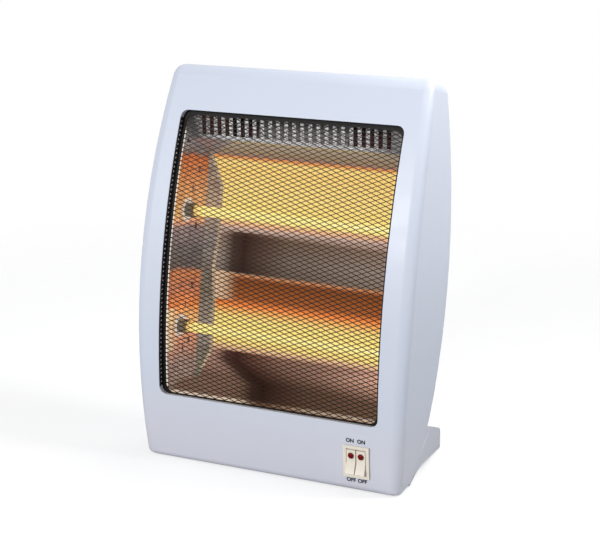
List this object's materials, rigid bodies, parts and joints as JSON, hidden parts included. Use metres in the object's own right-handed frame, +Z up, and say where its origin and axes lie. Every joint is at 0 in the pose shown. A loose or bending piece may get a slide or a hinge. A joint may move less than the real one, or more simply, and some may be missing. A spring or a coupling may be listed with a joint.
{
  "type": "halogen heater",
  "caption": "Free-standing radiant heater: lens-shaped casing that leans back on rear feet, black net guard, quartz tubes in polished troughs and a rocker switch with lamps.",
  "frame": {"origin": "centre of the bounding box in plan, on the floor", "axes": "+Z up, the window faces -Y, +X points to the side that carries the switch"},
  "size_m": [0.276, 0.138, 0.3726],
  "materials": {
    "shell": "satin light blue-grey",
    "guard": "black enamel",
    "mirror_sheet": "polished",
    "plate_sheet": "bright",
    "zinc": "zinc plated",
    "quartz": "glowing amber",
    "coil": "glowing",
    "ceramic": "unglazed ceramic",
    "cream": "satin cream",
    "lens": "glossy red",
    "brass": "bright",
    "rubber": "matte black",
    "wire": "silicone sleeve",
    "black_plastic": "matte black"
  },
  "bodies": {
    "housing": {"front_shell": "shell", "rear_shell": "shell", "guard_mesh": "guard", "reflector": "mirror_sheet", "heat_shield": "zinc", "end_plate_left": "plate_sheet", "end_plate_right": "plate_sheet", "tube_cap_upper_left": "ceramic", "tube_cap_upper_right": "ceramic", "tube_cap_lower_left": "ceramic", "tube_cap_lower_right": "ceramic", "tube_terminal_upper_left": "brass", "tube_terminal_upper_right": "brass", "tube_terminal_lower_left": "brass", "tube_terminal_lower_right": "brass", "quartz_tube_upper": "quartz", "quartz_tube_lower": "quartz", "heating_coil_upper": "coil", "heating_coil_lower": "coil", "casing_screw_1": "zinc", "casing_screw_2": "zinc", "casing_screw_3": "zinc", "casing_screw_4": "zinc", "casing_screw_5": "zinc", "casing_screw_6": "zinc", "switch_housing": "cream", "rocker_pin": "zinc", "switch_tab_supply_left": "brass", "switch_tab_supply_right": "brass", "switch_tab_load_left": "brass", "switch_tab_load_right": "brass", "lead_neutral_upper": "wire", "lead_neutral_lower": "wire", "lead_load_upper": "wire", "lead_load_lower": "wire", "lead_line": "wire", "lead_supply": "wire", "lead_jumper": "wire", "tip_bracket": "zinc", "tip_pin": "zinc", "tip_micro_switch": "black_plastic", "terminal_block": "ceramic", "cord_gland": "rubber", "foot_pad_left": "rubber", "foot_pad_right": "rubber"},
    "rocker_left_body": {"rocker_left": "cream", "lamp_lens_left": "lens"},
    "rocker_right_body": {"rocker_right": "cream", "lamp_lens_right": "lens"},
    "pendulum": {"tip_pendulum": "brass"}
  },
  "joints": [
    {"name": "rocker_left_tilt", "type": "hinge", "parent": "housing", "child": "rocker_left_body", "pos_m": [0.08635, -0.06199, 0.03158], "axis": [1, 0, 0], "range_deg": [0, 26]},
    {"name": "rocker_right_tilt", "type": "hinge", "parent": "housing", "child": "rocker_right_body", "pos_m": [0.09605, -0.06199, 0.03158], "axis": [1, 0, 0], "range_deg": [0, 26]},
    {"name": "tip_pendulum_swing", "type": "hinge", "parent": "housing", "child": "pendulum", "pos_m": [-0.07, -0.03781, 0.04596], "axis": [1, 0, 0], "range_deg": [-20, 20]}
  ]
}
